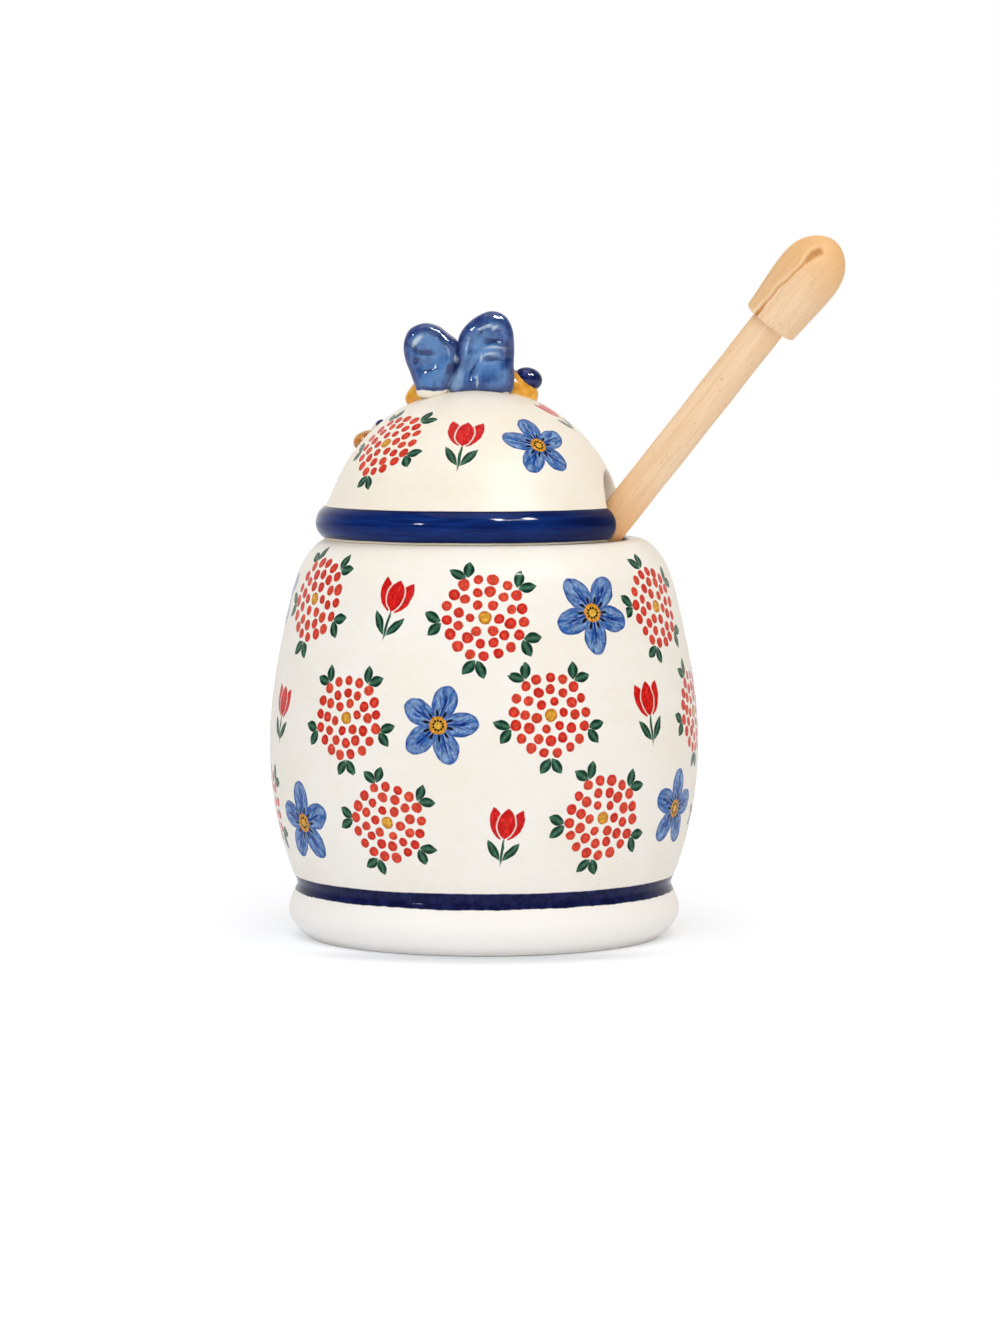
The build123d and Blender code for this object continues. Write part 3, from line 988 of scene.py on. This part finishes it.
@group("Painted motifs", "colour", "cover")
def painting(place, stamp, motif, seed):
    """The motif of the face here, with the slight wander of a hand-held brush."""
    shift_x, shift_y, _ = split(noise(place, 0.35, 2, out="Color"))
    x, y, _ = split(stamp)
    x, y = x + (shift_x - 0.5) * 0.75, y + (shift_y - 0.5) * 0.75
    colour, cover = tone(240, 235, 225), 0
    for number, paint in ((ROSETTE, rosette), (TULIP, tulip), (FLOWER, flower)):
        here = calc("COMPARE", motif, number, 0.25)
        paint_colour, paint_cover = paint(x, y, seed)
        colour = blend(here, colour, paint_colour)
        cover = cover + here * paint_cover
    density = noise(place, 1.1, 3, 0.65)
    dark = blend(1, colour, tone(214, 206, 206), "MULTIPLY")
    return blend(step(density, 0.42, 0.66), dark, colour), cover


# ---- glazes, clay and wood

CREAM = tone(251, 247, 240)
CREAM_WARM = tone(249, 243, 232)
LID_CREAM = tone(250, 243, 230)
LID_CREAM_WARM = tone(247, 238, 221)


@group("Fired glaze", "mottle", "pinhole", "height", "roughness")
def fired(place):
    """Fired glaze: a faint mottle, fine orange peel and a few pinholes. Height is in metres."""
    mottle = noise(place, 0.045, 3, 0.6)
    fine = noise(place, 0.55)
    peel = noise(place, 0.9)
    waves = noise(place, 0.07, 1)
    pit = step(node("TexVoronoi", {"Vector": place, "Scale": 0.16}, out="Distance"), 0.05, 0.02)
    height = peel * MICRON + waves * (20 * MICRON) + pit * (-10 * MICRON)
    return mottle * 0.7 + fine * 0.3, pit, height, step(waves, 0.25, 0.75, 0.128, 0.142)


def finish_material(name, surface, coat=0, specular=0.5):
    """A material whose colour, roughness and height come from surface(tree)."""
    material = bpy.data.materials.new(name)
    colour, rough, height = surface(cleared(material))
    bump = node("Bump", {"Strength": 1, "Distance": 1, "Height": height})
    shader = node("BsdfPrincipled", {
        "Base Color": colour, "Roughness": rough, "Normal": bump, "Specular IOR Level": specular,
        "Coat Weight": coat, "Coat Roughness": 0.05,
    })
    node("OutputMaterial", {"Surface": shader})
    return material


def cream_glaze(place, thick=CREAM, thin=CREAM_WARM):
    """Cream glaze over pale clay, a little warmer where it lies thin: its colour, roughness and height."""
    mottle, pinhole, height, rough = fired(place)
    colour = blend(step(mottle, 0.62, 0.36), thick, thin)
    return blend(pinhole * 0.3, colour, tone(176, 150, 118)), rough, height


def under_paint(tree, place, colour, height):
    """The glaze's colour and height with the painted motifs laid on, and their cover."""
    stamp = node("UVMap", tree=tree, uv_map="stamp")
    paint, cover = painting(place, stamp, kept(tree, "motif"), kept(tree, "seed"))
    return blend(cover, colour, paint), height + cover * (20 * MICRON), cover


def gloss_of(rough, painted):
    """Satin where the cream glaze is bare, glossier where paint lies under it."""
    return rough + step(painted, 0, 1, 0.25, -0.05)


def cobalt(place, pooled):
    """Cobalt brushed round in long strokes: darker where it pools, and where painted shade is laid on."""
    x, y, z = split(place)
    stroke = noise(join(calc("ARCTAN2", y, x) * 3, z * 0.9), 1, 3, 0.6)
    colour = tint(stroke, 0.36, 0.72, (10, 32, 92), (18, 52, 124))
    return blend(pooled, colour, tone(8, 16, 60))


def pot_colours(tree):
    """Cream with painted motifs, a whiter foot that is painted light, and a navy line round the waist."""
    place = here(tree)
    z = split(place)[2]
    colour, rough, height = cream_glaze(place)
    # Painted light: the foot below the waist band gets a whiter cream, to look as brightly lit as the body.
    colour = coats(colour, (step(z, 13, 11.5), 255, 252, 248))
    colour, height, cover = under_paint(tree, place, colour, height)
    wander = noise(scaled(place, (1, 1, 0)), 0.05, 3, 0.6)
    fine = noise(place, 0.5)
    shift = (wander - 0.5) * 1.1 + (fine - 0.5) * 0.35
    band_low, band_high, soft = 12.1, 16.15, 0.12
    band = step(z - band_low - shift, -soft, soft) * step(band_high - (z + shift * 0.5), -soft, soft)
    navy = tint(fine, 0.35, 0.7, (18, 22, 62), (30, 36, 84))
    return blend(band, colour, navy), gloss_of(rough, highest(cover, band)), height


def lid_colours(tree):
    """Cream with painted motifs, and a cobalt roll, darkest at its right by painted shade, pale at its cut
    ends.
    """
    place = here(tree)
    colour, rough, height = cream_glaze(place, LID_CREAM, LID_CREAM_WARM)
    colour, height, cover = under_paint(tree, place, colour, height)
    wander = noise(scaled(place, (1, 1, 0)), 0.06, 3, 0.6)
    along = kept(tree, "along") + (wander - 0.5) * 0.5
    roll = step(along, -0.1, -0.3) * step(along, -9.75, -9.45)
    upper, lower = step(along, -1.8, -0.5) * 0.8, step(along, -7.6, -9.2) * 0.6
    # The cobalt is darker where it pools by the roll's top and bottom edges, and towards +X by painted
    # shade.
    pooled = highest(upper, lower, step(split(place)[0], 10, 31) * 0.8)
    colour = blend(roll, colour, cobalt(place, pooled))
    end = step(kept(tree, "cut"), 0.68, 0.84) * step(along, -0.6, -1.6)
    colour = coats(colour, (end * 0.8, 214, 212, 212))
    return colour, gloss_of(rough, highest(cover, roll)), height


def plain_colours(tree):
    """The same cream glaze without paint, with faint throwing rings."""
    place = here(tree)
    colour, rough, height = cream_glaze(place)
    rings = calc("SINE", split(place)[2] * 1.5) * (30 * MICRON)
    return colour, rough + 0.14, height + rings


def clay_colours(tree):
    """Bare fired clay on the foot ring."""
    grain = noise(here(tree), 2.2, 4, 0.7)
    colour = tint(grain, 0.35, 0.7, (206, 190, 168), (232, 222, 204))
    return colour, 0.75, grain * (60 * MICRON)


def washed(place, scale, start, end, thick, thin):
    """Coloured glaze in a slow wash between two tones: the wash, its colour, roughness and height."""
    _, _, height, rough = fired(place)
    wash = noise(place, scale, 3, 0.6)
    return wash, blend(step(wash, start, end), thick, thin), rough, height


def bee_colours(tree):
    """Ochre glaze with soft dark bands round the back of the body, and a dark cap by the head."""
    place = here(tree)
    wash, colour, rough, height = washed(place, 0.5, 0.35, 0.65, tone(228, 152, 42), tone(250, 190, 74))
    along = split(kept(tree, "local", "Vector"))[0]
    stripe = calc("COSINE", (along + (wash - 0.5) * 0.8 + 1.2) * (TURN / 5.2))
    dark = step(stripe, 0.18, 0.42) * step(along, 9, 8) * step(along, -10.8, -9.8)
    colour = coats(colour, (dark, 34, 26, 26))
    from_crown = node("VectorMath", {0: place, 1: tuple(-v for v in crown)}, operation="ADD")
    x, _, z = split(from_crown)
    cap = step(z + (x - 11.6) * 0.7 + (wash - 0.5) * 1.2, 2.4, 2.9) * step(x, 9.2, 9.8)
    return blend(cap, colour, tone(20, 34, 92)), rough, height + wash * (50 * MICRON)


def amber_colours(tree):
    """Brown honey-coloured glaze, darker where it pools."""
    wash, colour, rough, height = washed(here(tree), 0.4, 0.35, 0.65, tone(160, 96, 34), tone(208, 146, 66))
    return colour, rough, height + wash * (50 * MICRON)


def head_colours(tree):
    """Deep cobalt glaze."""
    return washed(here(tree), 0.35, 0.4, 0.7, tone(14, 24, 78), tone(40, 62, 138))[1:]


# Strokes on a wing: (x, y, turn, half length, half width) in its own plane. The pale ones are painted
# highlights.
DARK_STROKES = [
    (4.4, 12.1, 4, 2.6, 0.9), (1.5, 15, 66, 2, 0.7), (4.4, 7.3, 0, 2.8, 0.6),
    (8.2, 9, 88, 4.5, 0.8), (1.2, -1.2, 0, 7.4, 0.42), (-15.6, 10.2, -42, 1.9, 0.7),
    (-12.8, 9, -6, 2.6, 0.8), (-15, 6.9, 0, 1, 1), (-9, 12.6, -38, 3, 0.6),
    (-6.6, 5, 62, 1.8, 1.1), (-11, -0.2, 0, 4.2, 0.5), (-11.6, 4.6, 12, 2.4, 0.5),
    (-4.4, 6.2, 78, 3, 0.45), (-0.6, 4.4, 70, 3, 0.5),
]
PALE_STROKES = [
    (3.2, 16.2, 0, 0.5, 0.5), (5, 15.6, 15, 1, 0.6), (5, 10.4, -3, 2.7, 0.42),
    (3.6, 8.5, 4, 2.2, 0.45), (1.4, 7.8, 80, 1.1, 0.4), (0.6, 1.9, 84, 1.5, 0.4),
    (-14.8, 12.2, 50, 2, 0.8), (-4.9, 7.4, 84, 1.2, 0.5),
]


def brushed(x, y, strokes):
    """How much soft strokes cover a point."""
    covers = []
    for middle_x, middle_y, turn, half_length, half_width in strokes:
        press = spot(x, y, middle_x, middle_y, math.radians(turn), half_length, half_width)
        covers.append(step(press, 0.25, -0.45))
    return highest(*covers)


def wing_colours(tree):
    """Blue washes with dark strokes, painted highlights in pale strokes and along the upper rim, a dark
    rim, and cream glaze where the wing meets the dome.
    """
    place = here(tree)
    _, _, height, rough = fired(place)
    local, edge = kept(tree, "local", "Vector"), kept(tree, "edge")
    x, y, _ = split(local)
    wash = noise(scaled(local, (1, 0.6, 0.4)), 0.2, 3, 0.55)
    fine = noise(local, 0.6, 3, 0.6)
    bend = split(noise(local, 0.28, out="Color"))
    amount = wash * 0.8 + fine * 0.2
    hollow = step(edge, 0.75, 0.2) * step(fine, 0.3, 0.7, 0.4, 0.8)
    rim = step(edge + (wash - 0.5) * 0.35 + (fine - 0.5) * 0.1, 0.7, 0.9)
    colour = coats(tint(amount, 0.38, 0.62, (38, 72, 138), (84, 132, 192)), (hollow, 98, 148, 206))
    colour = blend(rim * 0.85, colour, tint(fine, 0.35, 0.65, (32, 48, 104), (58, 76, 136)))
    x_here, y_here = x + (bend[0] - 0.5) * 2, y + (bend[1] - 0.5) * 2
    web = spot(x_here, y_here, -4.7, 1.8, math.radians(68), 3.2, 1.5)
    # The pale strokes, and the broken pale line that follows the inside of the upper rim, are painted
    # highlights.
    dark, pale = brushed(x_here, y_here, DARK_STROKES), brushed(x_here, y_here, PALE_STROKES)
    inside_rim = abs(edge + (bend[0] - 0.5) * 0.12 - 0.67)
    follow = step(inside_rim, 0.07, 0.015) * step(y_here, 7.5, 10.5) * step(x_here, 9, 6)
    broken = step(bend[2], 0.4, 0.56) * step(fine, 0.3, 0.6, 0.4, 0.85)
    # Laid on in turn: a light patch at the wings' base, dark strokes, then the painted highlights.
    colour = coats(
        colour, (step(web, 0.5, -0.8) * 0.6, 150, 182, 220), (dark * 0.85, 20, 38, 96),
        (follow * broken, 176, 200, 232), (pale * 0.76, 206, 222, 242),
    )
    foot_at = step(x, -7.6, -5.8, -0.75, -1.6)
    colour = blend(step(y_here - foot_at, 0.15, -0.15), colour, LID_CREAM)
    height = height + amount * (400 * MICRON) + dark * (-200 * MICRON) + pale * (200 * MICRON)
    return colour, rough, height


def wood_colours(tree):
    """Beech: long fine grain, short dark flecks, browner near the pot and the knob's top, darker down in a
    cut from torn fibre and painted shade.
    """
    cut, flake = kept(tree, "cut"), kept(tree, "flake")
    x, y, h = split(kept(tree, "local", "Vector"))
    bands = noise(join(x, y, h * 0.06), 0.35, 3, 0.55)
    fibre = noise(join(x, y, h * 0.035), 2.6, 3, 0.6)
    cells = {"Vector": join(x, y, h * 0.28), "Scale": 1.5, "Randomness": 1}
    flecks = node("TexVoronoi", cells, out="Distance")
    fleck = step(flecks, 0.24, 0.10) * step(fibre, 0.42, 0.6)
    ripe = step(h, rod_above_lip + 8, rod_above_lip + 27) * step(bands, 0.2, 0.5, 0.5, 0.85)
    handled = step(h, 26, 4) * step(bands, 0.2, 0.6, 0.55, 0.9)
    share = (h - rod_above_lip) * (1 / knob_length)
    past = calc("ARCTAN2", y, x) - (share * CRACK_LEAN + CRACK_START)
    beyond = step(past, 0.03, -0.12) * step(past, -1.3, -0.8)
    beyond = beyond * step(share, 0, 0.05) * step(share, 0.95, 0.85)
    # Darker with the cut's depth: torn fibre's colour together with painted shade in the recess.
    torn = cut + (fibre - 0.5) * step(cut, 0.05, 0.3, 0, 0.7)
    colour = coats(
        tint(bands, 0.32, 0.68, (242, 204, 160), (252, 220, 184)),
        (ripe, 248, 192, 128),
        (handled, 247, 192, 134),
        (step(fibre, 0.5, 0.3) * 0.35, 222, 176, 130),
        (fleck * 0.6, 196, 138, 92),
        (flake * 0.7, 253, 228, 188),
        (beyond * (1 - flake) * 0.6, 230, 178, 118),
        (step(torn, 0.12, 0.62) * 0.85, 204, 138, 68),
        (step(torn, 0.5, 0.9) * 0.6, 160, 98, 44),
    )
    height = fibre * (50 * MICRON) + fleck * (-40 * MICRON)
    return colour, step(fibre, 0.3, 0.7, 0.5, 0.62), height


# ---- light, floor and camera

LAMP_DISTANCE = 1.25
LAMPS_FACE = Vector((0, 0, 0.08))
ROOM_LIGHT = 0.7
GLOSS_FRONT = 0.07
FLOOR_LIFT_NEAR = 0.19
FLOOR_LIFT_FAR = 0.46
FLOOR_CONTACT = 0.3
FLOOR_HALF = 3
CAMERA_PLACE = (0.00412, -1.305, 0.1671)
CAMERA_DOWN = 4.28
CAMERA_LENS = 136.8
CAMERA_SENSOR = 36


def area_light(name, azimuth, elevation, width, height, power, lights=True, mirrored=True):
    """A soft box that faces the pot, in metres and watts: azimuth 0 is towards the camera, positive to
    its right.

    One that only lights isn't mirrored in the glaze. One that doesn't light is there for its mirror
    image."""
    a, e = math.radians(azimuth), math.radians(elevation)
    away = Vector((math.sin(a) * math.cos(e), -math.cos(a) * math.cos(e), math.sin(e)))
    lamp = bpy.data.lights.new(name, "AREA")
    lamp.shape = "RECTANGLE"
    lamp.size, lamp.size_y = width, height
    lamp.energy = power
    light = stand(name, lamp)
    light.location = LAMPS_FACE + away * LAMP_DISTANCE
    light.rotation_euler = away.to_track_quat("Z", "Y").to_euler()
    light.visible_diffuse, light.visible_glossy = lights, mirrored


def make_world():
    """White behind the object. The room lights it evenly, a little warmer from the right, and its gloss
    shows the dim side of the room in front and the white backdrop behind."""
    world = bpy.data.worlds.new("Studio")
    bpy.context.scene.world = world
    tree = cleared(world)
    x, y, _ = split(node("TexCoord", out="Generated", tree=tree))
    colour = blend(step(x, -0.3, 1), (1, 0.985, 0.965, 1), (1, 0.93, 0.83, 1))
    mirrored = node("LightPath", out="Is Glossy Ray", tree=tree)
    strength = between(mirrored, ROOM_LIGHT, step(y, 0, 1, GLOSS_FRONT, 1))
    room = node("Background", {"Color": colour, "Strength": strength})
    back = node("Background", {"Color": (1, 1, 1, 1), "Strength": 1}, tree=tree)
    seen = node("LightPath", out="Is Camera Ray", tree=tree)
    node("OutputWorld", {"Surface": node("MixShader", {0: seen, 1: room, 2: back})})


def make_floor():
    """A wide white table top at the pot's foot. The camera sees it lifted to white outside the shadow, and
    lifted less just in front of the foot, where a contact shadow is painted.
    """
    material = bpy.data.materials.new("pale_table")
    tree = cleared(material)
    place = node("TexCoord", out="Object", tree=tree)
    colour = blend(noise(place, 3), tone(244, 248, 254), tone(247, 250, 255))
    top = {"Base Color": colour, "Roughness": 0.9, "Specular IOR Level": 0.1}
    x, y, _ = split(place)
    away, in_front = length(x, y), step(y, -0.03, -0.05)
    # Painted shadow: just in front of the foot the lift drops, which darkens a band of the floor there.
    contact = step(away, 0.05, 0.068) * in_front
    near = FLOOR_LIFT_NEAR - (in_front - contact) * FLOOR_CONTACT
    seen = node("LightPath", out="Is Camera Ray", tree=tree)
    lift = {"Color": (1, 1, 1, 1), "Strength": seen * step(away, 0.06, 0.45, near, FLOOR_LIFT_FAR)}
    both = {0: node("BsdfPrincipled", top), 1: node("Emission", lift)}
    node("OutputMaterial", {"Surface": node("AddShader", both)})
    mesh = bpy.data.meshes.new("table_top")
    corners = [(x * FLOOR_HALF, y * FLOOR_HALF, 0) for x, y in ((-1, -1), (1, -1), (1, 1), (-1, 1))]
    mesh.from_pydata(corners, [], [(0, 1, 2, 3)])
    mesh.materials.append(material)
    floor = stand("table_top", mesh)
    floor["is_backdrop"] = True


def make_camera():
    """The camera: 1.3 m in front, a little above the pot, looking slightly down."""
    data = bpy.data.cameras.new("camera")
    data.sensor_fit = "VERTICAL"
    data.sensor_height = CAMERA_SENSOR
    data.lens = CAMERA_LENS
    camera = stand("camera", data)
    camera.location = CAMERA_PLACE
    camera.rotation_euler = (math.radians(90 - CAMERA_DOWN), 0, 0)
    bpy.context.scene.camera = camera


painted_pot = finish_material("painted_pot_glaze", pot_colours, specular=0.1)
painted_lid = finish_material("painted_lid_glaze", lid_colours, specular=0.13)
plain_glaze = finish_material("plain_cream_glaze", plain_colours, specular=0.15)
bare_clay = finish_material("bare_clay", clay_colours, specular=0.2)
yellow_glaze = finish_material("ochre_glaze", bee_colours)
amber_glaze = finish_material("amber_glaze", amber_colours)
cobalt_glaze = finish_material("deep_cobalt_glaze", head_colours)
blue_glaze = finish_material("washed_blue_glaze", wing_colours, coat=0.35)
beech_wood = finish_material("beech_wood", wood_colours, specular=0.15)

make_pot(painted_pot, plain_glaze, bare_clay)
make_lid(painted_lid, plain_glaze)
make_bee(yellow_glaze, cobalt_glaze, blue_glaze)
make_small_bee(amber_glaze, blue_glaze)
make_dipper(beech_wood)

make_world()
make_floor()
make_camera()
area_light("key", 2, 35, 0.9, 0.9, 3.3, mirrored=False)
area_light("overhead", 0, 82, 0.9, 0.9, 3)
area_light("window_left", 21, 52, 0.12, 0.17, 9.5, lights=False)
area_light("window_right", 51, 52, 0.12, 0.17, 9.5, lights=False)
area_light("window_bar", 36, 47, 0.56, 0.025, 6, lights=False)
area_light("far_window", -42, 24, 0.12, 0.12, 3.6, lights=False)

scene = bpy.context.scene
scene.view_settings.view_transform = "Standard"

bounds_at_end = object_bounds()
